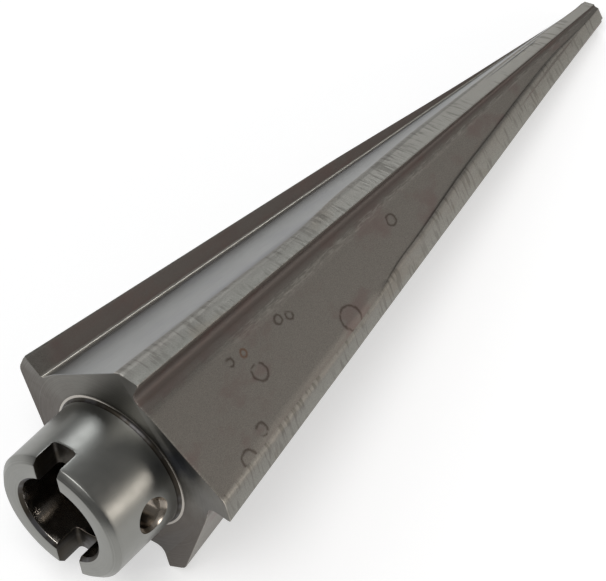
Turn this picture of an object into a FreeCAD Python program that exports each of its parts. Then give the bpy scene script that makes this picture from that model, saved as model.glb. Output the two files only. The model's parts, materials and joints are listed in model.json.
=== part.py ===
import FreeCAD, Part
import math
import os

# A straight-fluted taper reamer in one piece of tool steel: a five-toothed cone with a bored,
# slotted and cross-drilled driving hub on its big end. Sizes are in millimetres and degrees.

# The cone, measured over its cutting edges
big_end_diameter = 57.0
small_end_diameter = 6.6
cutting_length = 165.0
tooth_count = 5

# The teeth at the big end: how deep the cutting face goes, how far it is hooked under the edge,
# the land behind each edge and the strip that leads from the root to the flat floor
big_face_depth = 5.6
big_land_angle = 10.5
big_heel_drop = 0.4
big_root_radius = 2.4
big_strip_angle = 10.2
big_strip_drop = 6.4

# The same sizes at the small end, where the flutes are shallow and the lands take up more
small_face_depth = 0.35
small_land_angle = 50.0
small_heel_drop = 0.06
small_root_radius = 0.12
small_strip_angle = 10.0
small_strip_drop = 0.36

hook_angle = 9.0

# The driving hub
hub_diameter = 31.0
hub_length = 19.0
hub_chamfer = 1.3
hub_fillet = 1.0
hub_root = 4.0

# The socket bored into the hub and on into the cone
bore_diameter = 19.8
bore_depth = 30.0
bore_chamfer = 0.8
drill_point_angle = 118.0

# The slot milled across the hub's front, through both walls
slot_width = 6.2
slot_depth = 6.4
slot_corner_radius = 0.8
slot_angle = -21.6

# The pin hole drilled through one wall of the hub, square to the slot
pin_hole_diameter = 6.6
pin_hole_from_front = 11.2
pin_hole_chamfer = 0.5

# How far cutting tools reach past the surfaces that they open
run_out = 2.0

# The least flat left between the slot's two rounded corners, and how near counts as touching
least_flat = 0.2
touching = 1e-6

full_turn = 360.0
square = 90.0
tooth_pitch = full_turn / tooth_count
hub_radius = hub_diameter / 2
bore_radius = bore_diameter / 2
pin_hole_radius = pin_hole_diameter / 2
shoulder_place = hub_length
small_end_place = hub_length + cutting_length


def at(radius, angle, place):
    """A point given by its radius, its angle about the axis from the top tooth, and its place."""
    turn = math.radians(angle)
    return FreeCAD.Vector(place, -radius * math.sin(turn), radius * math.cos(turn))


class ToothForm:
    """The section of one tooth and of the flute that follows it, at one end of the cone."""

    def __init__(self, place, diameter, face_depth, land_angle, heel_drop, root_radius,
                 strip_angle, strip_drop):
        self.place = place
        self.edge_radius = diameter / 2
        self.face_depth = face_depth
        self.land_angle = land_angle
        self.heel_radius = self.edge_radius - heel_drop
        self.root_radius = root_radius
        self.strip_angle = strip_angle
        self.strip_radius = self.edge_radius - strip_drop

    def edge(self, tooth):
        return at(self.edge_radius, tooth * tooth_pitch, self.place)

    def heel(self, tooth):
        return at(self.heel_radius, tooth * tooth_pitch - self.land_angle, self.place)

    def root_corner(self, tooth):
        hook = math.radians(hook_angle)
        inward = self.edge_radius - self.face_depth * math.cos(hook)
        back = self.face_depth * math.sin(hook)
        turn = tooth * tooth_pitch - math.degrees(math.atan2(back, inward))
        return at(math.hypot(inward, back), turn, self.place)

    def strip_end(self, tooth):
        return at(self.strip_radius, tooth * tooth_pitch + self.strip_angle, self.place)


def big_end_form():
    return ToothForm(shoulder_place, big_end_diameter, big_face_depth, big_land_angle,
                     big_heel_drop, big_root_radius, big_strip_angle, big_strip_drop)


def small_end_form():
    return ToothForm(small_end_place, small_end_diameter, small_face_depth, small_land_angle,
                     small_heel_drop, small_root_radius, small_strip_angle, small_strip_drop)


def rounded_corner(before, corner, after, radius):
    """Start, middle and end of the arc that rounds a corner between two straight lines."""
    towards_before = (before - corner).normalize()
    towards_after = (after - corner).normalize()
    half_angle = towards_before.getAngle(towards_after) / 2
    tangent_length = radius / math.tan(half_angle)
    bisector = (towards_before + towards_after).normalize()
    centre = corner + bisector * (radius / math.sin(half_angle))
    start = corner + towards_before * tangent_length
    middle = centre - bisector * radius
    end = corner + towards_after * tangent_length
    return start, middle, end


def section(form):
    """Closed outline of the fluted cone where the given form lies."""
    edges = []
    for tooth in range(tooth_count):
        edge = form.edge(tooth)
        strip_end = form.strip_end(tooth)
        next_heel = form.heel(tooth + 1)
        start, middle, end = rounded_corner(edge, form.root_corner(tooth), strip_end,
                                            form.root_radius)
        edges.append(Part.LineSegment(edge, start).toShape())
        edges.append(Part.Arc(start, middle, end).toShape())
        edges.append(Part.LineSegment(end, strip_end).toShape())
        edges.append(Part.LineSegment(strip_end, next_heel).toShape())
        edges.append(Part.LineSegment(next_heel, form.edge(tooth + 1)).toShape())
    return Part.Wire(edges)


def fluted_cone():
    """The toothed cone: straight lines join its big-end section to its small-end one."""
    return Part.makeLoft([section(big_end_form()), section(small_end_form())], True, True)


def turned(outline):
    """Solid turned about the axis from a closed outline of points and arcs in the XZ plane."""
    face = Part.Face(Part.Wire(outline))
    return face.revolve(FreeCAD.Vector(0, 0, 0), FreeCAD.Vector(1, 0, 0), full_turn)


def line_through(points):
    """Straight edges through (place, radius) pairs, in order."""
    corners = [FreeCAD.Vector(place, 0, radius) for place, radius in points]
    return [Part.LineSegment(a, b).toShape() for a, b in zip(corners, corners[1:])]


def hub():
    """The turned hub with its front chamfer and the fillet at its root."""
    root = shoulder_place + hub_root
    front = line_through([
        (root, 0),
        (0, 0),
        (0, hub_radius - hub_chamfer),
        (hub_chamfer, hub_radius),
        (shoulder_place - hub_fillet, hub_radius)])
    sweep = math.radians(square / 2)
    fillet = Part.Arc(
        FreeCAD.Vector(shoulder_place - hub_fillet, 0, hub_radius),
        FreeCAD.Vector(shoulder_place - hub_fillet + hub_fillet * math.sin(sweep), 0,
                       hub_radius + hub_fillet - hub_fillet * math.cos(sweep)),
        FreeCAD.Vector(shoulder_place, 0, hub_radius + hub_fillet)).toShape()
    back = line_through([
        (shoulder_place, hub_radius + hub_fillet),
        (root, hub_radius + hub_fillet),
        (root, 0)])
    return turned(front + [fillet] + back)


def bore_tool():
    """The drill for the blind socket, with its point and the chamfer at the mouth."""
    point_length = bore_radius / math.tan(math.radians(drill_point_angle / 2))
    mouth_radius = bore_radius + bore_chamfer
    return turned(line_through([
        (-run_out, 0),
        (-run_out, mouth_radius + run_out),
        (bore_chamfer, bore_radius),
        (bore_depth, bore_radius),
        (bore_depth + point_length, 0),
        (-run_out, 0)]))


def slot_tool():
    """The bar that mills the slot, with rounded corners along its far end."""
    length = hub_diameter + 2 * run_out
    bar = Part.makeBox(slot_depth + run_out, slot_width, length,
                       FreeCAD.Vector(-run_out, -slot_width / 2, -length / 2))
    far_edges = []
    for edge in bar.Edges:
        middle = edge.CenterOfMass
        if abs(middle.x - slot_depth) < touching and abs(middle.z) < touching:
            far_edges.append(edge)
    bar = bar.makeFillet(min(slot_corner_radius, (slot_width - least_flat) / 2), far_edges)
    bar.rotate(FreeCAD.Vector(0, 0, 0), FreeCAD.Vector(1, 0, 0), slot_angle)
    return bar


def pin_hole_tool():
    """The drill for the pin, from the axis out through one wall, with its light countersink."""
    tool = Part.makeCylinder(pin_hole_radius, hub_radius + run_out)
    sink = Part.makeCone(pin_hole_radius, pin_hole_radius + pin_hole_chamfer + run_out,
                         pin_hole_chamfer + run_out,
                         FreeCAD.Vector(0, 0, hub_radius - pin_hole_chamfer))
    tool = tool.fuse(sink)
    tool.translate(FreeCAD.Vector(pin_hole_from_front, 0, 0))
    tool.rotate(FreeCAD.Vector(0, 0, 0), FreeCAD.Vector(1, 0, 0), slot_angle + square)
    return tool


def lying(shape):
    """The reamer as it rests on its side, on two teeth, with the middle of its base at zero."""
    big = big_end_form()
    small = small_end_form()
    lower_edge = tooth_count // 2
    lower_heel = lower_edge + 1
    first = big.edge(lower_edge)
    second = big.heel(lower_heel)
    third = small.heel(lower_heel)
    up = (second - first).cross(third - first).normalize()
    if up.dot(big.edge(0) - at(0, 0, shoulder_place)) < 0:
        up = up * -1
    axis = FreeCAD.Vector(1, 0, 0)
    along = (axis - up * axis.dot(up)).normalize()
    across = up.cross(along)
    turn = FreeCAD.Rotation(along, across, up, "ZXY").inverted()
    shape = shape.copy()
    shape.Placement = FreeCAD.Placement(FreeCAD.Vector(0, 0, 0), turn)
    box = shape.optimalBoundingBox()
    middle = FreeCAD.Vector(box.Center.x, box.Center.y, box.ZMin)
    shape.Placement = FreeCAD.Placement(middle * -1, turn)
    return shape


def taper_reamer():
    body = fluted_cone().fuse(hub())
    body = body.cut(bore_tool())
    body = body.cut(slot_tool())
    body = body.cut(pin_hole_tool())
    body = body.removeSplitter()
    return lying(body)


def main():
    os.makedirs("parts", exist_ok=True)
    taper_reamer().exportStep("parts/taper_reamer.step")


main()
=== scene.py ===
import bisect
import json
import math

import bmesh
import bpy
from mathutils import Matrix, Vector, noise


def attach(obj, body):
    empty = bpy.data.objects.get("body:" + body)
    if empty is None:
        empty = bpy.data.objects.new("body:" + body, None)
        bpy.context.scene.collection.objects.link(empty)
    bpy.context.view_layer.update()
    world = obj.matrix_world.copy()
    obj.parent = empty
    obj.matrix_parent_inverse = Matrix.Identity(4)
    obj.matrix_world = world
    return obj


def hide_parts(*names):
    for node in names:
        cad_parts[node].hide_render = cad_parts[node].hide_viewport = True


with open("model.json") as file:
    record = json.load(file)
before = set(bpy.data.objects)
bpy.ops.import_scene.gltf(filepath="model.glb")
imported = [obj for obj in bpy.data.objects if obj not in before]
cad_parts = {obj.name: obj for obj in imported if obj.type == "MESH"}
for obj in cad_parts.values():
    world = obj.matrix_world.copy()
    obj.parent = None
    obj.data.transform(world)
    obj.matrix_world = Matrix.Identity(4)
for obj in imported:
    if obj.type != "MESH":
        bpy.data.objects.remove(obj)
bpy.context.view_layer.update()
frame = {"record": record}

# A taper reamer lying on two of its five teeth. Lengths are in millimetres in the reamer's own
# frame: X runs along the axis from the hub's front, and angles go round from the top tooth.
MM = 0.001

# The cone, as the solid has it
SHOULDER = 19.0
CONE_LENGTH = 165.0
TIP = SHOULDER + CONE_LENGTH
TEETH = 5
PITCH = 360 / TEETH
TOP, FRONT, UNDER_FRONT, UNDER_BACK, BACK = range(TEETH)
UPPER_TEETH = (TOP, FRONT, BACK)

BIG_END = {
    "place": SHOULDER, "edge_radius": 28.5, "face_depth": 5.6, "land_angle": 10.5,
    "heel_drop": 0.4, "strip_angle": 10.2, "strip_drop": 6.4, "hone_back": 0.22,
    "hone_down": 0.6, "edge_ease": 0.1, "heel_ease": 1.2, "root_ease": 2.1, "strip_ease": 0.7}
SMALL_END = {
    "place": TIP, "edge_radius": 3.3, "face_depth": 0.35, "land_angle": 50.0,
    "heel_drop": 0.06, "strip_angle": 10.0, "strip_drop": 0.36, "hone_back": 0.03,
    "hone_down": 0.1, "edge_ease": 0.03, "heel_ease": 0.15, "root_ease": 0.12, "strip_ease": 0.1}
HOOK = 9.0
RIM = 0.1

# The hub, its socket, the slot across it and the hole for the pin
HUB_RADIUS = 15.5
HUB_CHAMFER = 1.3
HUB_FILLET = 1.0
BORE_RADIUS = 9.9
BORE_CHAMFER = 0.8
BORE_DEPTH = 30.0
DRILL_POINT = 59.0
SLOT_WIDTH = 6.2
SLOT_DEPTH = 6.4
SLOT_CORNER = 0.8
SLOT_ANGLE = -21.6
PIN_PLACE = 11.2
PIN_RADIUS = 3.3
PIN_CHAMFER = 0.5
HUB_COLUMNS = 240
SLOT_COLUMNS = 8
HUB_EDGE = 0.13
FILLET_SHADE_SHARE = 0.4
CLOSE = 0.01


def srgb(red, green, blue):
    """A colour as a screen shows it, turned into the linear values that a shader takes."""
    return tuple((level / 255) ** 2.2 for level in (red, green, blue)) + (1.0,)


def lying():
    """How the reamer lies: its own frame, read from the socket's and the pin hole's mounts."""
    mounts = {mount["name"]: mount for mount in frame["record"]["mounts"]}
    socket = mounts["socket_bore"]
    out = Vector(socket["axis"]).normalized()
    half_wall = socket["dims"]["length_mm"] * MM / 2
    origin = Vector(socket["pos_m"]) + out * (half_wall + BORE_CHAMFER * MM)
    along = -out
    pin = Vector(mounts["pin_hole"]["axis"]).normalized()
    top = Matrix.Rotation(-math.radians(SLOT_ANGLE + 90), 3, along) @ pin
    across = top.cross(along)
    turn = Matrix((along, across, top)).transposed()
    return Matrix.Translation(origin) @ turn.to_4x4()


def at(radius, angle, place):
    """A point given by its radius, its angle from the top tooth and its place along the axis."""
    turn = math.radians(angle)
    return Vector((place, -radius * math.sin(turn), radius * math.cos(turn)))


def smooth_step(value, low, high):
    share = min(max((value - low) / (high - low), 0), 1)
    return share * share * (3 - 2 * share)


def table(value, points):
    """The value of a smooth line through (place, height) pairs."""
    places = [place for place, height in points]
    after = min(max(bisect.bisect(places, value), 1), len(points) - 1)
    low, high = points[after - 1], points[after]
    return low[1] + (high[1] - low[1]) * smooth_step(value, low[0], high[0])


# Modelling helpers

def start_fresh():
    """Nothing is selected, so that the next operator acts on the new piece alone."""
    if bpy.context.object and bpy.context.object.mode != "OBJECT":
        bpy.ops.object.mode_set(mode="OBJECT")
    bpy.ops.object.select_all(action="DESELECT")


def work_on(piece):
    start_fresh()
    piece.select_set(True)
    bpy.context.view_layer.objects.active = piece


def edit(piece, mode="VERT"):
    work_on(piece)
    bpy.ops.object.mode_set(mode="EDIT")
    bpy.ops.mesh.select_mode(type=mode)
    bpy.ops.mesh.select_all(action="DESELECT")
    return bmesh.from_edit_mesh(piece.data)


def done():
    bpy.ops.object.mode_set(mode="OBJECT")


def face_outwards(piece):
    edit(piece)
    bpy.ops.mesh.select_all(action="SELECT")
    bpy.ops.mesh.normals_make_consistent(inside=False)
    done()


def grid_piece(name, around, rings):
    """A closed cylinder with that many columns and rings, ready to be shaped ring by ring."""
    start_fresh()
    bpy.ops.mesh.primitive_cylinder_add(vertices=around, radius=1, depth=1)
    piece = bpy.context.object
    piece.name = piece.data.name = name
    if rings > 2:
        mesh = edit(piece, "EDGE")
        for edge in mesh.edges:
            edge.select_set(abs(edge.verts[0].co.z - edge.verts[1].co.z) > 0.5)
        bmesh.update_edit_mesh(piece.data)
        bpy.ops.mesh.subdivide_edgering(number_cuts=rings - 2, interpolation="LINEAR")
        done()
    return piece


def shape_grid(piece, around, rings, point):
    """Moves each vertex of a grid piece to where its column and ring put it."""
    cells = []
    for vertex in piece.data.vertices:
        turn = math.atan2(vertex.co.y, vertex.co.x) / (2 * math.pi)
        column = round(turn * around) % around
        ring = round((vertex.co.z + 0.5) * (rings - 1))
        vertex.co = point(column, ring) * MM
        cells.append((column, ring))
    return cells


def cut(piece, tool):
    """Cuts the tool's shape out of the piece, and takes the tool away."""
    work_on(piece)
    modifier = piece.modifiers.new("cut", "BOOLEAN")
    modifier.operation = "DIFFERENCE"
    modifier.solver = "EXACT"
    modifier.material_mode = "TRANSFER"
    modifier.object = tool
    bpy.ops.object.modifier_apply(modifier=modifier.name)
    bpy.data.objects.remove(tool)


# The fluted cone

RUNS = (("heel", 4), ("land", 5), ("edge", 2), ("hone", 1), ("margin", 3), ("face", 3),
        ("root", 6), ("strip", 6), ("strip_end", 4), ("floor", 9))
PER_TOOTH = sum(count for run, count in RUNS)


def flat_at(radius, angle):
    turn = math.radians(angle)
    return Vector((radius * math.cos(turn), radius * math.sin(turn)))


def eased(before, corner, after, reach, count):
    """Points that take the corner between two straight lines in a soft curve."""
    start = corner + (before - corner).normalized() * reach
    end = corner + (after - corner).normalized() * reach
    points = []
    for step in range(count):
        share = step / (count - 1)
        points.append(start * (1 - share) ** 2 + corner * 2 * share * (1 - share)
                      + end * share ** 2)
    return points


def straight(start, end, count):
    """Points between two ends, closer together near both, without the ends."""
    shares = [(1 - math.cos(math.pi * (step + 1) / (count + 1))) / 2 for step in range(count)]
    return [start.lerp(end, share) for share in shares]


def tooth_outline(form):
    """One tooth and the flute that follows it, seen from the hub, with the tooth's edge on X."""
    radius = form["edge_radius"]
    hook = math.radians(HOOK)
    heel_radius = radius - form["heel_drop"]
    heel = flat_at(heel_radius, -form["land_angle"])
    next_heel = flat_at(heel_radius, PITCH - form["land_angle"])
    edge = Vector((radius, 0))
    land_line = (heel - edge).normalized()
    face_line = Vector((-math.cos(hook), -math.sin(hook)))
    root = edge + face_line * form["face_depth"]
    strip_end = flat_at(radius - form["strip_drop"], form["strip_angle"])
    hone_start = edge + land_line * form["hone_back"]
    hone_end = edge + face_line * form["hone_down"]
    last_strip_end = Matrix.Rotation(-math.radians(PITCH), 2) @ strip_end

    heel_points = eased(last_strip_end, heel, edge, form["heel_ease"], 4)
    edge_points = eased(heel, hone_start, hone_end, form["edge_ease"], 2)
    hone_points = eased(hone_start, hone_end, root, form["edge_ease"], 2)
    root_points = eased(hone_end, root, strip_end, form["root_ease"], 6)
    strip_points = eased(root, strip_end, next_heel, form["strip_ease"], 4)
    floor_end = next_heel + (strip_end - next_heel).normalized() * form["heel_ease"]
    return (heel_points
            + straight(heel_points[-1], edge_points[0], 5) + edge_points + hone_points
            + straight(hone_points[-1], root_points[0], 5) + root_points
            + straight(root_points[-1], strip_points[0], 6) + strip_points
            + straight(strip_points[-1], floor_end, 9))


def run_of(column):
    """Which stretch of the outline begins at a column, and how far along it that is."""
    left = column % PER_TOOTH
    for run, count in RUNS:
        if left < count:
            return run, left / count
        left -= count


# How wide the lands are against straight lines from end to end, by the share of the cone's length
LAND_WIDTH = ((0, 1), (0.15, 0.93), (0.33, 0.86), (0.46, 1.2), (0.65, 1.5), (0.85, 1.6), (1, 1))
# How much the back tooth has lost: its edge towards the tip, and its corner at the shoulder
BACK_WEAR = ((0, 0), (0.45, 0), (0.8, 0.75), (0.97, 0.75), (1, 0.2))
BACK_CORNER = 0.5
# How far the back tooth's root is eased at the big end, which was ground sharper than the others
SHARP_ROOT = 0.4
WAVER = 0.035
WAVER_LENGTH = 9.0


def cone_places():
    """Where the cone's rings are: close together at the shoulder and the tip, even between."""
    places = [0, RIM, 0.35, 0.6, 0.9, 1.3, 1.8, 2.4, 3.1]
    step = 1.05
    count = int((CONE_LENGTH - 4.5) / step)
    places += [4 + number * step for number in range(count)]
    places += [CONE_LENGTH - RIM / 2, CONE_LENGTH]
    return [SHOULDER + place for place in places]


def inset(points, depth):
    """The closed outline drawn in by a depth, as the eased rim of an end face is."""
    drawn = []
    for number, point in enumerate(points):
        chord = points[(number + 1) % len(points)] - points[number - 1]
        inward = Vector((-chord.y, chord.x)).normalized()
        drawn.append(point + inward * depth)
    return drawn


def widened(point, edge_radius, width):
    """A point of the land, moved round the cone so that the land is that many times as wide."""
    angle = math.degrees(math.atan2(point.y, point.x))
    return flat_at(edge_radius - (edge_radius - point.length) * width, angle * width)


def outline_at(big, sharp, small, place):
    """All five teeth where the given place cuts the cone, with widths and wear as they are."""
    share = (place - SHOULDER) / CONE_LENGTH
    edge_radius = BIG_END["edge_radius"] * (1 - share) + SMALL_END["edge_radius"] * share
    width = table(share, LAND_WIDTH)
    land_columns = sum(count for run, count in RUNS[:2])
    outline = []
    for tooth in range(TEETH):
        turn = Matrix.Rotation(math.radians(PITCH * tooth), 2)
        limit = edge_radius
        if tooth == BACK:
            limit -= table(share, BACK_WEAR)
            near = max(BACK_CORNER - (place - SHOULDER), 0)
            limit -= BACK_CORNER - math.sqrt(BACK_CORNER ** 2 - near ** 2)
        for column in range(PER_TOOTH):
            point = (sharp if tooth == BACK else big)[column].lerp(small[column], share)
            if column < land_columns and tooth in UPPER_TEETH:
                point = widened(point, edge_radius, width)
            waver = noise.noise(Vector((place / WAVER_LENGTH, tooth * 7.3, column * 0.05)))
            point *= 1 - WAVER * (0.5 + 0.5 * waver) / max(point.length, 3)
            if point.length > limit:
                point *= limit / point.length
            outline.append(turn @ point)
    return outline


# The finish of each run of the outline, and how dark it is from 0 to 1 at its two ends:
# scale and oil, with painted shade in the faces and roots of the flutes. The flute behind the
# back tooth was ground clean, so it has its own. The face of the tooth below the front one was
# ground too and nothing has stained it; its near-white colour is a painted highlight.
FLUTE_FINISH = {
    "heel": ("milled_land", 0.3, 0.25), "land": ("milled_land", 0.2, 0),
    "edge": ("milled_land", 0.1, 0.8), "hone": ("scaled_back", 0.9, 0.6),
    "margin": ("scaled_back", 0.2, 0.3), "face": ("scaled_back", 0.9, 1),
    "root": ("scaled_back", 1, 1), "strip": ("scaled_back", 1, 0.05),
    "strip_end": ("scaled_back", 0, 0), "floor": ("scaled_back", 0, 0)}
CLEAN_FINISH = dict(FLUTE_FINISH, margin=("scaled_back", 0.8, 0.8), face=("scaled_back", 0.8, 1),
                    root=("ground_back", 0, 0), strip=("ground_back", 0, 0),
                    strip_end=("ground_back", 0, 0), floor=("ground_back", 0, 0.1))
# The ground face of the tooth below the front one, painted near white: a painted highlight
HIGHLIT_FACE_FINISH = dict(FLUTE_FINISH, edge=("highlit_ground_face", 0, 0), hone=("highlit_ground_face", 0, 0),
                     margin=("highlit_ground_face", 0, 0), face=("highlit_ground_face", 0, 0))
FINISH_OF = {BACK: CLEAN_FINISH, UNDER_FRONT: HIGHLIT_FACE_FINISH}
# How far from the shoulder the back tooth's face is bare, where its corner has been knocked
BARE_CORNER = (1.5, 7.0)
# How bright each run is painted, as a highlight where the strip meets the floor, at its start
# and its end, and how far from the shoulder that begins
HIGHLIGHT_RUNS = {"strip": (-0.6, 0.7), "strip_end": (1, 0.8), "floor": (0.5, -5)}
HIGHLIGHT_FROM = (12.0, 45.0)
# How far from the shoulder the top land begins to be rubbed pale and is palest, and how pale
PALE_LAND = (20.0, 150.0)
PALEST = 0.55
# How far the rubbed rim reaches from the shoulder. The back tooth's root carries a painted
# highlight all along, and its strip by this share where it begins.
RUBBED_RIM = 0.5
BACK_STRIP = 0.8


def finish_at(column):
    """A column's finish and how dark it is, from its place on the outline."""
    run, share = run_of(column)
    name, dark_start, dark_end = FINISH_OF.get(column // PER_TOOTH, FLUTE_FINISH)[run]
    return name, dark_start + (dark_end - dark_start) * share


def scale_and_shade(column, place):
    bare = smooth_step(place - SHOULDER, *BARE_CORNER) if column // PER_TOOTH == BACK else 1
    return finish_at(column)[1] * bare


def wear_and_highlight_at(column, place):
    """How bright a point is: rubbed round the rim and pale on the top land, and a painted
    highlight along the back tooth's root and where the strip meets the floor.
    """
    tooth = column // PER_TOOTH
    run, share = run_of(column)
    beyond = place - SHOULDER
    if tooth == BACK:
        return {"root": 1, "strip": BACK_STRIP * (1 - share)}.get(run, 0)
    if tooth == TOP and run == "land":
        return PALEST * smooth_step(beyond, *PALE_LAND)
    rim = 1 - smooth_step(beyond, RIM, RUBBED_RIM) if beyond > 0 else 0
    start, end = HIGHLIGHT_RUNS.get(run, (0, 0))
    return max(rim, (start + (end - start) * share) * smooth_step(beyond, *HIGHLIGHT_FROM))


def dress_cone(cone, cells, places, finishes):
    """Gives each face its finish, and each vertex its stain with painted shade, and its rubbing
    with painted highlight.
    """
    for name in finishes:
        cone.data.materials.append(finishes[name])
    order = list(finishes)
    for name, amount in (("dark", scale_and_shade), ("wear_and_highlight", wear_and_highlight_at)):
        values = [amount(column, places[ring]) for column, ring in cells]
        cone.data.attributes.new(name, "FLOAT", "POINT").data.foreach_set("value", values)
    for face in cone.data.polygons:
        columns = sorted({cells[vertex][0] for vertex in face.vertices})
        if len(columns) > 2:
            face.material_index = order.index("shoulder_face")
            continue
        first = columns[-1] if columns[-1] - columns[0] > 1 else columns[0]
        face.material_index = order.index(finish_at(first)[0])


def fluted_cone(finishes):
    """The five-toothed cone: a cylinder's rings, each drawn to the section at its place."""
    places = cone_places()
    around = PER_TOOTH * TEETH
    big = tooth_outline(BIG_END)
    small = tooth_outline(SMALL_END)
    sharp = tooth_outline(dict(BIG_END, root_ease=SHARP_ROOT))
    outlines = [outline_at(big, sharp, small, place) for place in places]
    outlines[0] = inset(outlines[1], RIM)
    outlines[-1] = inset(outlines[-2], RIM / 2)

    def point(column, ring):
        flat = outlines[ring][column]
        return Vector((places[ring], -flat.y, flat.x))

    cone = grid_piece("taper_reamer_body", around, len(places))
    cells = shape_grid(cone, around, len(places), point)
    dress_cone(cone, cells, places, finishes)
    face_outwards(cone)
    return cone


# The hub

# Where the hub's rings are: on its skin behind the slot, along the slot, and in the bore behind it
SKIN_PLACES = (17, 15.5, 14, 12.5, 11, 9.5, 8, 7)
SLOT_PLACES = (SLOT_DEPTH, 6.3, 6.1, 5.85, SLOT_DEPTH - SLOT_CORNER, 4.4, 3.2, 2.2)
BORE_PLACES = (7, 8, 9.5, 11, 12.5, 14, 15.5, 18, 22, 26)
FRONT_RING = 12.5
# The slot's walls are bridged behind the first place, and each is closed by a face before the next
BRIDGED_FROM = 2.1
CLOSED_TO = 3.0
# Which edges of the hub are sharp enough to be eased, and how far back
SHARP_ANGLE = 25.0
EASED_TO = 7.0
# Which way a face looks, as a share of straight out from the axis: the skin, the chamfer, a bore
SKIN_LOOKS = 0.93
CHAMFER_LOOKS = 0.2
BORE_LOOKS = 0.4
# The cutter that opens the shoulder reaches this far to each side of it
SEAT_REACH = 1.0
SEAT_SLACK = 0.2
# The pin hole's lip lies this far under the hub's skin, and the drill goes this far past the skin
PIN_LIP = 1.15
DRILL_REACH = 2.0


def hub_profile():
    """The hub's half section, from the shoulder over the front to the bottom of the bore."""
    profile = []
    for step in range(7):
        sweep = math.radians(15 * step)
        profile.append((SHOULDER - HUB_FILLET * (1 - math.cos(sweep)),
                        HUB_RADIUS + HUB_FILLET * (1 - math.sin(sweep))))
    profile += [(place, HUB_RADIUS) for place in SKIN_PLACES + SLOT_PLACES]
    profile += [(HUB_CHAMFER, HUB_RADIUS), (0, HUB_RADIUS - HUB_CHAMFER), (0, FRONT_RING),
                (0, BORE_RADIUS + BORE_CHAMFER), (BORE_CHAMFER, BORE_RADIUS)]
    profile += [(place, BORE_RADIUS) for place in SLOT_PLACES[::-1] + BORE_PLACES]
    profile += [(BORE_DEPTH, BORE_RADIUS)]
    point_length = BORE_RADIUS / math.tan(math.radians(DRILL_POINT))
    profile += [(BORE_DEPTH + point_length * share, BORE_RADIUS * (1 - share))
                for share in (0.33, 0.66, 1)]
    return profile


def slot_half_width(place):
    """Half the slot's width at a place: it narrows at the rounded corners of its floor."""
    into_corner = max(place - (SLOT_DEPTH - SLOT_CORNER), 0)
    return SLOT_WIDTH / 2 - SLOT_CORNER + math.sqrt(SLOT_CORNER ** 2 - into_corner ** 2)


def hub_angle(column, place, radius):
    """A column's angle from the slot, with the slot's walls on whole columns."""
    step = 360 / HUB_COLUMNS
    quarter = HUB_COLUMNS // 4
    offset = (column + quarter) % (2 * quarter) - quarter
    base = (column - offset) * step
    if place > SLOT_DEPTH + CLOSE:
        return column * step
    wall = math.degrees(math.asin(slot_half_width(place) / radius))
    if abs(offset) <= SLOT_COLUMNS:
        return base + wall * offset / SLOT_COLUMNS
    beyond = (abs(offset) - SLOT_COLUMNS) / (quarter - SLOT_COLUMNS)
    return base + math.copysign(wall + (90 - wall) * beyond, offset)


def mill_slot(hub, side):
    """Opens one wall of the hub, and closes the opening's own walls and floor."""
    mesh = edit(hub, "FACE")
    direction = at(1, SLOT_ANGLE + 180 * side, 0)
    square = at(1, SLOT_ANGLE + 180 * side + 90, 0)
    limit = SLOT_DEPTH * MM
    for face in mesh.faces:
        place = face.calc_center_median()
        reach = place.dot(direction)
        width = slot_half_width(place.x / MM if place.x < limit else 0) * MM
        if reach > 0 and place.x < limit and abs(place.dot(square)) < width:
            face.select_set(True)
    bmesh.update_edit_mesh(hub.data)
    bpy.ops.mesh.delete(type="FACE")

    mesh = edit(hub, "EDGE")
    for edge in mesh.edges:
        middle = (edge.verts[0].co + edge.verts[1].co) / 2
        rim = edge.is_boundary and middle.x < limit * 1.001 and middle.dot(direction) > 0
        edge.select_set(rim and middle.x > BRIDGED_FROM * MM)
    bmesh.update_edit_mesh(hub.data)
    bpy.ops.mesh.bridge_edge_loops()
    for wall in (1, -1):
        mesh = edit(hub, "EDGE")
        for edge in mesh.edges:
            middle = (edge.verts[0].co + edge.verts[1].co) / 2
            rim = edge.is_boundary and middle.x < CLOSED_TO * MM and middle.dot(direction) > 0
            edge.select_set(rim and middle.dot(square) * wall > 0)
        bmesh.update_edit_mesh(hub.data)
        bpy.ops.mesh.edge_face_add()
    done()


def ease_hub_edges(hub):
    """Breaks the hub's sharp edges by a hair, as a file or a tumbler would."""
    mesh = edit(hub, "EDGE")
    for edge in mesh.edges:
        if len(edge.link_faces) == 2 and edge.calc_face_angle() > math.radians(SHARP_ANGLE):
            edge.select_set(max(vertex.co.x for vertex in edge.verts) < EASED_TO * MM)
    bmesh.update_edit_mesh(hub.data)
    bpy.ops.mesh.bevel(offset=HUB_EDGE * MM, segments=2, profile=0.5, clamp_overlap=False)
    done()


def dress_hub(hub, finishes):
    """Gives each face of the hub its finish, by where it lies and which way it looks."""
    for name in finishes:
        hub.data.materials.append(finishes[name])
    order = list(finishes)
    chamfer_start = HUB_RADIUS - HUB_CHAMFER - HUB_EDGE
    for face in hub.data.polygons:
        middle = face.center / MM
        from_axis = math.hypot(middle.y, middle.z)
        outward = Vector((0, middle.y, middle.z)).normalized().dot(face.normal)
        # Where the fillet meets the hub's skin it takes the dark slot finish: painted shade in the
        # crease
        if middle.x > SHOULDER - HUB_FILLET and from_axis > HUB_RADIUS - 0.1:
            name = "hub_skin" if from_axis > HUB_RADIUS + HUB_FILLET * FILLET_SHADE_SHARE else "shaded_slot_wall"
        elif outward > SKIN_LOOKS:
            name = "hub_skin"
        elif from_axis < BORE_RADIUS + 0.05 and middle.x > 0.9 and abs(outward) > BORE_LOOKS:
            name = "bore_wall"
        elif outward > CHAMFER_LOOKS and from_axis > chamfer_start:
            name = "shaded_hub_chamfer"
        elif middle.x > 0.2 and outward > -BORE_LOOKS:
            name = "shaded_slot_wall"
        else:
            name = "hub_front"
        face.material_index = order.index(name)


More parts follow.
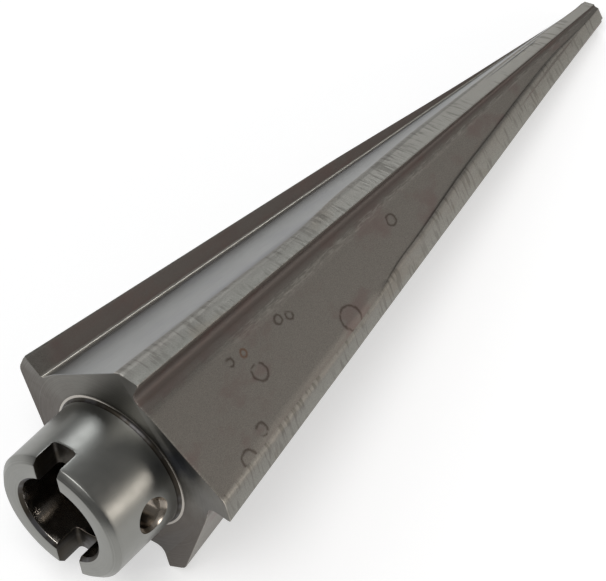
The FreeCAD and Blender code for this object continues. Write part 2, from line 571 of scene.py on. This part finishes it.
def driving_hub(finishes):
    """The hub with its socket, as an open shell that ends in a ring at the shoulder."""
    profile = hub_profile()
    hub = grid_piece("hub", HUB_COLUMNS, len(profile))

    def point(column, ring):
        place, radius = profile[ring]
        radius = max(radius, 0)
        angle = hub_angle(column, place, radius) if radius > 1 else 360 * column / HUB_COLUMNS
        return at(radius, SLOT_ANGLE + angle, place)

    shape_grid(hub, HUB_COLUMNS, len(profile), point)
    mesh = edit(hub, "FACE")
    for face in mesh.faces:
        face.select_set(len(face.verts) > 4)
    bmesh.update_edit_mesh(hub.data)
    bpy.ops.mesh.delete(type="ONLY_FACE")
    bpy.ops.mesh.select_all(action="SELECT")
    bpy.ops.mesh.remove_doubles(threshold=0.0005 * MM)
    done()
    mill_slot(hub, 0)
    mill_slot(hub, 1)
    ease_hub_edges(hub)
    dress_hub(hub, finishes)
    return hub


def turned_tool(name, profile, columns, turn):
    """A closed cutter turned about the reamer's axis from (place, radius) pairs, then turned."""
    tool = grid_piece(name, columns, len(profile))

    def point(column, ring):
        place, radius = profile[ring]
        return at(radius, 360 * column / columns, place)

    shape_grid(tool, columns, len(profile), point)
    tool.data.transform(turn)
    face_outwards(tool)
    return tool


def open_shoulder(cone):
    """Leaves a round opening in the shoulder where the hub grows out of it."""
    radius = HUB_RADIUS + HUB_FILLET
    profile = [(SHOULDER - SEAT_REACH, radius), (SHOULDER + SEAT_REACH, radius)]
    tool = turned_tool("hub_seat", profile, HUB_COLUMNS,
                       Matrix.Rotation(math.radians(SLOT_ANGLE), 4, "X"))
    cut(cone, tool)
    mesh = edit(cone, "FACE")
    for face in mesh.faces:
        middle = face.calc_center_median()
        from_axis = math.hypot(middle.y, middle.z)
        beyond = middle.x / MM - SHOULDER
        face.select_set(from_axis < (radius + 0.02) * MM
                        and SEAT_SLACK < beyond < SEAT_REACH + SEAT_SLACK)
    bmesh.update_edit_mesh(cone.data)
    bpy.ops.mesh.delete(type="FACE")
    done()


def drill_pin_hole(body, finishes):
    """The hole for the pin through the near wall, countersunk where it leaves it."""
    sunk = PIN_RADIUS + PIN_CHAMFER
    reach = HUB_RADIUS + DRILL_REACH
    lip = HUB_RADIUS - PIN_LIP
    profile = [(0, PIN_RADIUS), (lip - 0.15, PIN_RADIUS), (lip, PIN_RADIUS + 0.12),
               (lip + 0.35, sunk - 0.1), (reach, sunk + 1.2)]
    turn = (Matrix.Translation(Vector((PIN_PLACE, 0, 0)) * MM)
            @ Matrix.Rotation(math.radians(SLOT_ANGLE + 90), 4, "X")
            @ Matrix.Rotation(math.radians(-90), 4, "Y"))
    drill = turned_tool("pin_drill", profile, 96, turn)
    drill.data.materials.append(finishes["pin_wall"])
    cut(body, drill)


def reamer(finishes):
    """The whole tool in one closed piece, in its own frame."""
    cone = fluted_cone(finishes)
    open_shoulder(cone)
    hub = driving_hub(finishes)
    work_on(cone)
    hub.select_set(True)
    bpy.ops.object.join()
    mesh = edit(cone)
    for vertex in mesh.verts:
        from_axis = math.hypot(vertex.co.y, vertex.co.z) - (HUB_RADIUS + HUB_FILLET) * MM
        on_seat = abs(vertex.co.x - SHOULDER * MM) < CLOSE * MM and abs(from_axis) < CLOSE * MM
        vertex.select_set(on_seat)
    bmesh.update_edit_mesh(cone.data)
    bpy.ops.mesh.remove_doubles(threshold=CLOSE * MM)
    done()
    face_outwards(cone)
    drill_pin_hole(cone, finishes)
    return cone


# Finishes

def node(tree, kind, inputs=None, **settings):
    """A node with its settings, whose inputs are values or other nodes' outputs."""
    made = tree.nodes.new("ShaderNode" + kind)
    for name, value in settings.items():
        setattr(made, name, value)
    for name, value in (inputs or {}).items():
        if isinstance(value, bpy.types.NodeSocket):
            tree.links.new(value, made.inputs[name])
        else:
            made.inputs[name].default_value = value
    return made


def maths(tree, operation, first, second=0.0, clamp=False):
    made = node(tree, "Math", {0: first, 1: second}, operation=operation, use_clamp=clamp)
    return made.outputs[0]


def vector_maths(tree, operation, first, second=(0, 0, 0)):
    made = node(tree, "VectorMath", {0: first, 1: second}, operation=operation)
    return made.outputs["Value" if operation in ("LENGTH", "DISTANCE") else "Vector"]


def scaled_by(tree, vector, factor):
    return node(tree, "VectorMath", {0: vector, 3: factor}, operation="SCALE").outputs[0]


def mix(tree, factor, first, second):
    return node(tree, "Mix", {0: factor, 6: first, 7: second}, data_type="RGBA").outputs[2]


def ramp(tree, value, low, high, to_low=0.0, to_high=1.0):
    """The value's stretch from low to high, drawn out to another and cut off beyond."""
    made = node(tree, "MapRange", {0: value, 1: low, 2: high, 3: to_low, 4: to_high},
                interpolation_type="SMOOTHSTEP")
    return made.outputs[0]


def noise_at(tree, vector, detail=2.0, roughness=0.5, distortion=0.0):
    made = node(tree, "TexNoise", {"Vector": vector, "Scale": 1.0, "Detail": detail,
                                   "Roughness": roughness, "Distortion": distortion})
    return made.outputs["Fac"]


def effect(name, inputs, outputs, build):
    """A node group with named inputs and outputs, built once and used by several finishes."""
    tree = bpy.data.node_groups.new(name, "ShaderNodeTree")
    kinds = ("NodeSocketFloat", "NodeSocketVector")
    for label, default in inputs.items():
        kind = kinds[isinstance(default, tuple)]
        socket = tree.interface.new_socket(label, in_out="INPUT", socket_type=kind)
        socket.default_value = default
    for label in outputs:
        tree.interface.new_socket(label, in_out="OUTPUT", socket_type=kinds[label == "Normal"])
    entry = tree.nodes.new("NodeGroupInput").outputs
    leave = tree.nodes.new("NodeGroupOutput").inputs
    for label, socket in zip(outputs, build(tree, entry)):
        tree.links.new(socket, leave[label])
    return tree


def grain_effect(tree, entry):
    """Even grain of a given size, drawn out along the reamer by a given stretch."""
    along = maths(tree, "MULTIPLY", entry["Size"], entry["Stretch"])
    shape = node(tree, "CombineXYZ", {0: along, 1: entry["Size"], 2: entry["Size"]}).outputs[0]
    spot = vector_maths(tree, "DIVIDE", entry["Place"], shape)
    return (noise_at(tree, spot, detail=3, roughness=0.6),)


def milling_effect(tree, entry):
    """Marks that a cutter left across the reamer, uneven in depth, and the darkest of them."""
    shape = node(tree, "CombineXYZ", {0: entry["Pitch"], 1: 6.0, 2: 6.0}).outputs[0]
    spot = vector_maths(tree, "DIVIDE", entry["Place"], shape)
    marks = noise_at(tree, spot, detail=1, roughness=0.5, distortion=0.15)
    wide = vector_maths(tree, "DIVIDE", entry["Place"], (9.0, 4.0, 4.0))
    strength = ramp(tree, noise_at(tree, wide, detail=1), 0.3, 0.55)
    height = maths(tree, "MULTIPLY", marks, strength)
    dark = maths(tree, "MULTIPLY", ramp(tree, marks, 0.52, 0.64), strength)
    return height, dark


def turning_effect(tree, entry):
    """Fine grooves round the axis, by place along it or by distance from it: how high the
    surface is, and which way it looks."""
    parts = node(tree, "SeparateXYZ", {0: entry["Place"]}).outputs
    flat = node(tree, "CombineXYZ", {0: 0.0, 1: parts[1], 2: parts[2]}).outputs[0]
    endways = maths(tree, "SUBTRACT", 1.0, entry["Facing"])
    by_radius = maths(tree, "MULTIPLY", vector_maths(tree, "LENGTH", flat), entry["Facing"])
    by_place = maths(tree, "MULTIPLY", parts[0], endways)
    depth = maths(tree, "DIVIDE", maths(tree, "ADD", by_radius, by_place), entry["Pitch"])
    groove = node(tree, "TexNoise", {"W": depth, "Scale": 1.0, "Detail": 2.0, "Roughness": 0.7},
                  noise_dimensions="1D").outputs["Fac"]
    ahead = node(tree, "CombineXYZ", {0: endways}).outputs[0]
    outward = scaled_by(tree, vector_maths(tree, "NORMALIZE", flat), entry["Facing"])
    across = node(tree, "VectorRotate", {"Vector": vector_maths(tree, "ADD", ahead, outward),
                                         "Rotation": lying().to_euler("XYZ")},
                  rotation_type="EULER_XYZ").outputs[0]
    tilt = maths(tree, "MULTIPLY", maths(tree, "SUBTRACT", groove, 0.5), entry["Slope"])
    leaning = vector_maths(tree, "ADD", entry["Flat Normal"], scaled_by(tree, across, tilt))
    return groove, vector_maths(tree, "NORMALIZE", leaning)


def ring_effect(tree, entry):
    """The broken, wandering line that a drying drop leaves round a centre."""
    ragged = noise_at(tree, vector_maths(tree, "DIVIDE", entry["Place"], (1.5, 1.5, 1.5)))
    away = vector_maths(tree, "DISTANCE", entry["Place"], entry["Centre"])
    wander = maths(tree, "MULTIPLY", maths(tree, "SUBTRACT", ragged, 0.5), 0.9)
    off = maths(tree, "ABSOLUTE", maths(tree, "SUBTRACT", maths(tree, "ADD", away, wander),
                                        entry["Radius"]))
    line = ramp(tree, maths(tree, "DIVIDE", off, entry["Width"]), 0.0, 1.0, 1.0, 0.0)
    coarse = noise_at(tree, vector_maths(tree, "DIVIDE", entry["Place"], (2.6, 2.6, 2.6)))
    return (maths(tree, "MULTIPLY", line, ramp(tree, coarse, 0.3, 0.48)),)


EFFECTS = {
    "grain": effect("grain", {"Place": (0, 0, 0), "Size": 0.3, "Stretch": 1.0}, ("Amount",),
                    grain_effect),
    "milling": effect("milling", {"Place": (0, 0, 0), "Pitch": 0.45}, ("Height", "Dark"),
                      milling_effect),
    "turning": effect("turning", {"Place": (0, 0, 0), "Flat Normal": (0, 0, 0), "Pitch": 0.12,
                                  "Facing": 0.0, "Slope": 0.3}, ("Height", "Normal"),
                      turning_effect),
    "drop_ring": effect("drop_ring", {"Place": (0, 0, 0), "Centre": (0, 0, 0), "Radius": 1.5,
                                      "Width": 0.3}, ("Mask",), ring_effect)}


def use(tree, name, place, **values):
    """One of the effects in a finish: its named inputs, with a capital, and what it puts out."""
    made = node(tree, "Group", node_tree=EFFECTS[name])
    tree.links.new(place, made.inputs["Place"])
    for label, value in values.items():
        made.inputs[label.capitalize()].default_value = value
    return made.outputs


def grain(tree, place, size, stretch=1.0):
    return use(tree, "grain", place, size=size, stretch=stretch)["Amount"]


def place_in(tree):
    """Millimetres in the reamer's own frame, from the piece's own coordinates."""
    own = node(tree, "TexCoord").outputs["Object"]
    back = lying().inverted()
    moved = node(tree, "Mapping", {"Vector": own, "Location": back.translation,
                                   "Rotation": back.to_euler("XYZ")})
    return vector_maths(tree, "MULTIPLY", moved.outputs[0], (1 / MM, 1 / MM, 1 / MM))


def attribute(tree, name):
    return node(tree, "Attribute", attribute_name=name).outputs["Fac"]


# How much of its metal a steel still shows where scale, oil and painted shade cover it
METAL_UNDER_STAIN_AND_SHADE = 0.3


def steel(name, colour, roughness, build, bare=1.0):
    """A steel finish, bare metal or partly under oil, scale and painted shade, as it always is
    where the piece is dark: build gives its colour, its roughness and its normal."""
    material = bpy.data.materials.new(name)
    material.use_nodes = True
    tree = material.node_tree
    shader = tree.nodes["Principled BSDF"]
    shade, gloss, normal = build(tree, place_in(tree), colour, roughness)
    metal = ramp(tree, attribute(tree, "dark"), 0.0, 1.0, bare, bare * METAL_UNDER_STAIN_AND_SHADE)
    for label, socket in (("Base Color", shade), ("Metallic", metal), ("Roughness", gloss),
                          ("Normal", normal)):
        tree.links.new(socket, shader.inputs[label])
    return material


def raised(tree, height, depth):
    """The normal of a surface whose height from 0 to 1 is that many millimetres."""
    return node(tree, "Bump", {"Height": height, "Strength": 1.0, "Distance": depth * MM}).outputs[0]


def varied(tree, amount, colour, spread):
    """A colour made darker and lighter by an even amount."""
    return scaled_by(tree, colour[:3], ramp(tree, amount, 0.25, 0.75, 1 - spread, 1 + spread))


def wandering(tree, amount, level, spread):
    """A value that wanders about a level."""
    return maths(tree, "ADD", maths(tree, "MULTIPLY", amount, 2 * spread), level - spread)


DARK_BROWN = srgb(62, 48, 42)
PURPLE = srgb(124, 106, 103)
OIL_AND_SHADE = srgb(92, 83, 78)
RED_BROWN = srgb(98, 76, 70)
RUST = srgb(110, 72, 50)
TAN = srgb(118, 106, 90)
CUTTER_DARK = srgb(98, 95, 89)
COOL_GREY = srgb(134, 135, 141)
# Bare steel, and the colour of the painted highlight lines
BARE_AND_HIGHLIGHT = srgb(178, 174, 166)
# Colours of the shoulder's painted shade and the hub's painted dark reflections
BLUE_BLACK_SHADE = srgb(54, 56, 62)
PAINTED_DARK_WARM = srgb(76, 68, 63)


def scale_oil_and_shade(tree, shade, place):
    """Scale and oil, with painted shade in the flutes' faces and roots, over a colour where the
    piece is dark, a little rusty in patches.
    """
    cloud = grain(tree, place, 4.0, 2.5)
    stain = mix(tree, ramp(tree, cloud, 0.45, 0.7, 0, 0.6), OIL_AND_SHADE, RED_BROWN)
    dark = maths(tree, "MULTIPLY", attribute(tree, "dark"), 0.92)
    return mix(tree, dark, shade, stain)


def wear_and_highlight(tree, shade, place, speck):
    """Bare bright steel where the piece is rubbed, and a painted highlight along the back
    tooth's root and the strips' ends, as far as the specks let it through.
    """
    amount = maths(tree, "MULTIPLY", attribute(tree, "wear_and_highlight"), speck, clamp=True)
    return mix(tree, amount, shade, BARE_AND_HIGHLIGHT)


def milled(tree, place, colour, roughness):
    fine = grain(tree, place, 0.3)
    cutter = use(tree, "milling", place, pitch=0.75)
    shade = varied(tree, fine, colour, 0.16)
    tan = ramp(tree, grain(tree, place, 9.0, 2.0), 0.56, 0.7)
    shade = mix(tree, maths(tree, "MULTIPLY", tan, 0.3), shade, TAN)
    shade = wear_and_highlight(tree, scale_oil_and_shade(tree, shade, place), place, 1.0)
    by_heel = maths(tree, "ADD", maths(tree, "MULTIPLY", attribute(tree, "dark"), 1.2), 0.4)
    dark = maths(tree, "MULTIPLY", cutter["Dark"], by_heel, clamp=True)
    shade = mix(tree, dark, shade, CUTTER_DARK)
    height = maths(tree, "ADD", cutter["Height"], maths(tree, "MULTIPLY", fine, 0.25))
    return shade, wandering(tree, fine, roughness, 0.1), raised(tree, height, 0.05)


def ground(tree, place, colour, roughness):
    streak = grain(tree, place, 0.35, 45.0)
    cloud = grain(tree, place, 7.0, 2.5)
    shade = varied(tree, streak, colour, 0.06)
    shade = mix(tree, ramp(tree, cloud, 0.45, 0.7, 0, 0.4), shade, COOL_GREY)
    shade = wear_and_highlight(tree, scale_oil_and_shade(tree, shade, place), place, 1.0)
    return shade, wandering(tree, cloud, roughness, 0.08), raised(tree, streak, 0.012)


# The drops that dried on the front back: place, turn from the top tooth, radius and ring size
DROPS = ((45.9, 35.5, 19.1, 1.9), (37.2, 55.1, 23.4, 1.3), (30.4, 59.3, 25.6, 2.0),
         (72.1, 54.1, 18.5, 2.7), (45.9, 20.5, 18.6, 0.8), (41.8, 18.9, 19.1, 0.8),
         (57.8, 20.1, 17.3, 1.0), (60.5, 23.4, 16.9, 0.9), (97.0, 27.4, 12.8, 1.2),
         (117.3, 61.8, 13.6, 0.8))
RUSTED_DROP = 4
DROP_LINE = 0.5


def scaled(tree, place, colour, roughness):
    fine = grain(tree, place, 0.16, 1.6)
    cloud = grain(tree, place, 8.0, 1.4)
    shade = varied(tree, fine, colour, 0.2)
    shade = mix(tree, ramp(tree, cloud, 0.5, 0.68, 0, 0.5), shade, PURPLE)
    for number, (along, angle, radius, size) in enumerate(DROPS):
        centre = at(radius, angle, along)
        mask = use(tree, "drop_ring", place, centre=centre, radius=size, width=DROP_LINE)["Mask"]
        line = RUST if number == RUSTED_DROP else DARK_BROWN
        shade = mix(tree, maths(tree, "MULTIPLY", mask, 0.6), shade, line)
    streak = ramp(tree, grain(tree, place, 0.4, 7.0), 0.42, 0.64, 0.1, 0.6)
    shade = wear_and_highlight(tree, scale_oil_and_shade(tree, shade, place), place, streak)
    return shade, wandering(tree, fine, roughness, 0.1), raised(tree, fine, 0.03)


def turned_finish(facing, pitch, spread, slope):
    """Steel with turning marks, across its end faces or round its length."""
    def build(tree, place, colour, roughness):
        marks = use(tree, "turning", place, pitch=pitch, facing=facing, slope=slope)
        own = node(tree, "NewGeometry").outputs["Normal"]
        tree.links.new(own, marks["Normal"].node.inputs["Flat Normal"])
        shade = varied(tree, marks["Height"], colour, spread)
        return shade, wandering(tree, grain(tree, place, 3.0), roughness, 0.07), marks["Normal"]
    return build


# Painted shade on the shoulder, blue-black, in one patch: turn from the top tooth, radius
# and size
SHOULDER_SHADE_PATCH = (40.0, 19.5, 7.5)
# Painted dark reflections that run along the hub: turn from the top tooth, half their width
# and their depth
HUB_DARK_REFLECTIONS = ((11.0, 9.0, 0.35), (53.0, 9.0, 0.6))


def shoulder_with_painted_shade(tree, place, colour, roughness):
    """Turned steel with painted shade: darker and brown low down, and blue-black in one patch."""
    shade, gloss, normal = turned_finish(1.0, 0.3, 0.12, 0.3)(tree, place, colour, roughness)
    height = node(tree, "SeparateXYZ", {0: place}).outputs[2]
    blotch = maths(tree, "MULTIPLY", maths(tree, "SUBTRACT", grain(tree, place, 4.0), 0.5), 16.0)
    low_shade = ramp(tree, maths(tree, "ADD", height, blotch), 14.0, -4.0, 0, 0.7)
    shade = mix(tree, low_shade, shade, PAINTED_DARK_WARM)
    angle, radius, size = SHOULDER_SHADE_PATCH
    away = vector_maths(tree, "DISTANCE", place, at(radius, angle, SHOULDER))
    patch_shade = ramp(tree, maths(tree, "ADD", away, maths(tree, "MULTIPLY", blotch, 0.6)), size, 0.0)
    return mix(tree, patch_shade, shade, BLUE_BLACK_SHADE), gloss, normal


def hub_with_painted_reflections(tree, place, colour, roughness):
    """Turned and polished steel with painted dark reflection bands along it."""
    shade, gloss, normal = turned_finish(0.0, 0.12, 0.05, 0.35)(tree, place, colour, roughness)
    outward = vector_maths(tree, "NORMALIZE", vector_maths(tree, "MULTIPLY", place, (0, 1, 1)))
    for angle, half_width, depth in HUB_DARK_REFLECTIONS:
        middle = at(1, angle, 0)
        near = node(tree, "VectorMath", {0: outward, 1: middle}, operation="DOT_PRODUCT")
        edge = math.cos(math.radians(half_width))
        amount = ramp(tree, near.outputs["Value"], edge, 1.0, 0, depth)
        shade = mix(tree, amount, shade, PAINTED_DARK_WARM)
    return shade, gloss, normal


def finishes():
    """Every finish by its name: its colour, its roughness and what builds it."""
    parts = {
        "milled_land": (srgb(132, 131, 125), 0.42, milled),
        "ground_back": (srgb(138, 139, 138), 0.36, ground),
        "scaled_back": (srgb(133, 129, 123), 0.5, scaled),
        # Near-white steel with less metal: a painted highlight on a ground face
        "highlit_ground_face": (srgb(232, 230, 225), 0.34, milled, 0.4),
        "shoulder_face": (srgb(112, 110, 105), 0.4, shoulder_with_painted_shade),
        "hub_skin": (srgb(166, 161, 154), 0.18, hub_with_painted_reflections),
        # The hub's steel painted darker on its chamfer: painted shade
        "shaded_hub_chamfer": (srgb(94, 87, 79), 0.36, turned_finish(0.0, 0.2, 0.06, 0.2)),
        "hub_front": (srgb(136, 136, 132), 0.36, turned_finish(1.0, 0.2, 0.06, 0.3)),
        # Steel painted dark: painted shade in the slot and in the fillet's crease
        "shaded_slot_wall": (srgb(62, 58, 52), 0.45, ground),
        "bore_wall": (srgb(164, 153, 143), 0.34, turned_finish(0.0, 0.3, 0.1, 0.12), 0.6),
        "pin_wall": (srgb(168, 158, 146), 0.22, turned_finish(0.0, 0.2, 0.1, 0.3))}
    return {name: steel(name, *made_of) for name, made_of in parts.items()}


# The picture

FLOOR_MATT = 0.6
FLOOR_GLOW = 0.55
ROOM_LIGHT = 0.16
LAMP_TARGET = (-0.03, 0, 0.02)
SMOOTH_UNDER = 35


def floor_white():
    """Matt white that keeps the shadow, and shows as white to the eye and in the steel."""
    material = bpy.data.materials.new("floor_white")
    material.use_nodes = True
    tree = material.node_tree
    tree.nodes.remove(tree.nodes["Principled BSDF"])
    rays = node(tree, "LightPath").outputs
    seen = maths(tree, "MAXIMUM", rays["Is Camera Ray"], rays["Is Glossy Ray"])
    seen = maths(tree, "MAXIMUM", seen, rays["Is Transmission Ray"])
    strength = maths(tree, "MULTIPLY", seen, FLOOR_GLOW)
    matt = node(tree, "BsdfDiffuse", {"Color": (FLOOR_MATT,) * 3 + (1,)}).outputs[0]
    glow = node(tree, "Emission", {"Color": (1, 1, 1, 1), "Strength": strength}).outputs[0]
    both = node(tree, "AddShader", {0: matt, 1: glow}).outputs[0]
    tree.links.new(both, tree.nodes["Material Output"].inputs["Surface"])
    return material


def floor():
    start_fresh()
    bpy.ops.mesh.primitive_plane_add(size=6, location=(0, 0, 0))
    plane = bpy.context.object
    plane.name = plane.data.name = "floor"
    plane.data.materials.append(floor_white())


def lamp(name, place, target, size, brightness, colour=(1, 1, 1)):
    """A round lamp, by how bright its face looks where a brightness of one is white."""
    light = bpy.data.lights.new(name, "AREA")
    light.shape = "DISK"
    light.size = size
    light.energy = brightness * math.pi * math.pi * (size / 2) ** 2
    light.color = colour
    holder = bpy.data.objects.new(name, light)
    bpy.context.scene.collection.objects.link(holder)
    holder.location = place
    holder.rotation_euler = (Vector(target) - Vector(place)).to_track_quat("-Z", "Y").to_euler()


def towards(azimuth, elevation, distance):
    turn, rise = math.radians(azimuth), math.radians(elevation)
    return Vector((math.cos(turn) * math.cos(rise), math.sin(turn) * math.cos(rise),
                   math.sin(rise))) * distance


def light():
    """A dim room with a warm box and a weak fill low on the near side, a cool box behind and a
    wide one above."""
    world = bpy.data.worlds.new("studio")
    bpy.context.scene.world = world
    world.use_nodes = True
    room = world.node_tree.nodes["Background"].inputs
    room["Color"].default_value = (1, 1, 1, 1)
    room["Strength"].default_value = ROOM_LIGHT
    lamp("warm_box", towards(-60, 16, 0.9), LAMP_TARGET, 0.27, 7.5, (1, 0.93, 0.86))
    lamp("fill_box", towards(-30, 21, 0.9), LAMP_TARGET, 0.64, 0.55, (1, 0.97, 0.94))
    lamp("cool_box", towards(50, 32, 0.9), LAMP_TARGET, 0.46, 3.4, (0.94, 0.97, 1))
    lamp("top_box", towards(170, 72, 1.3), LAMP_TARGET, 0.9, 4.5)


CAMERA_PLACE = (-0.26298, -0.18440, 0.53780)
CAMERA_TARGET = (-0.01293, 0.00057, 0.01403)
CAMERA_ROLL = 2.851
CAMERA_LENS = 171.5


def camera():
    lens = bpy.data.cameras.new("camera")
    lens.lens = CAMERA_LENS
    lens.sensor_width = 36
    holder = bpy.data.objects.new("camera", lens)
    bpy.context.scene.collection.objects.link(holder)
    aim = (Vector(CAMERA_TARGET) - Vector(CAMERA_PLACE)).to_track_quat("-Z", "Y").to_matrix()
    roll = Matrix.Rotation(math.radians(CAMERA_ROLL), 3, "Z")
    holder.matrix_world = Matrix.Translation(CAMERA_PLACE) @ (aim @ roll).to_4x4()
    bpy.context.scene.camera = holder


def main():
    body = reamer(finishes())
    body.data.transform(lying())
    work_on(body)
    bpy.ops.object.shade_smooth_by_angle(angle=math.radians(SMOOTH_UNDER))
    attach(body, "root")
    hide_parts("taper_reamer")
    floor()
    light()
    camera()
    bpy.context.scene.view_settings.view_transform = "Standard"


main()
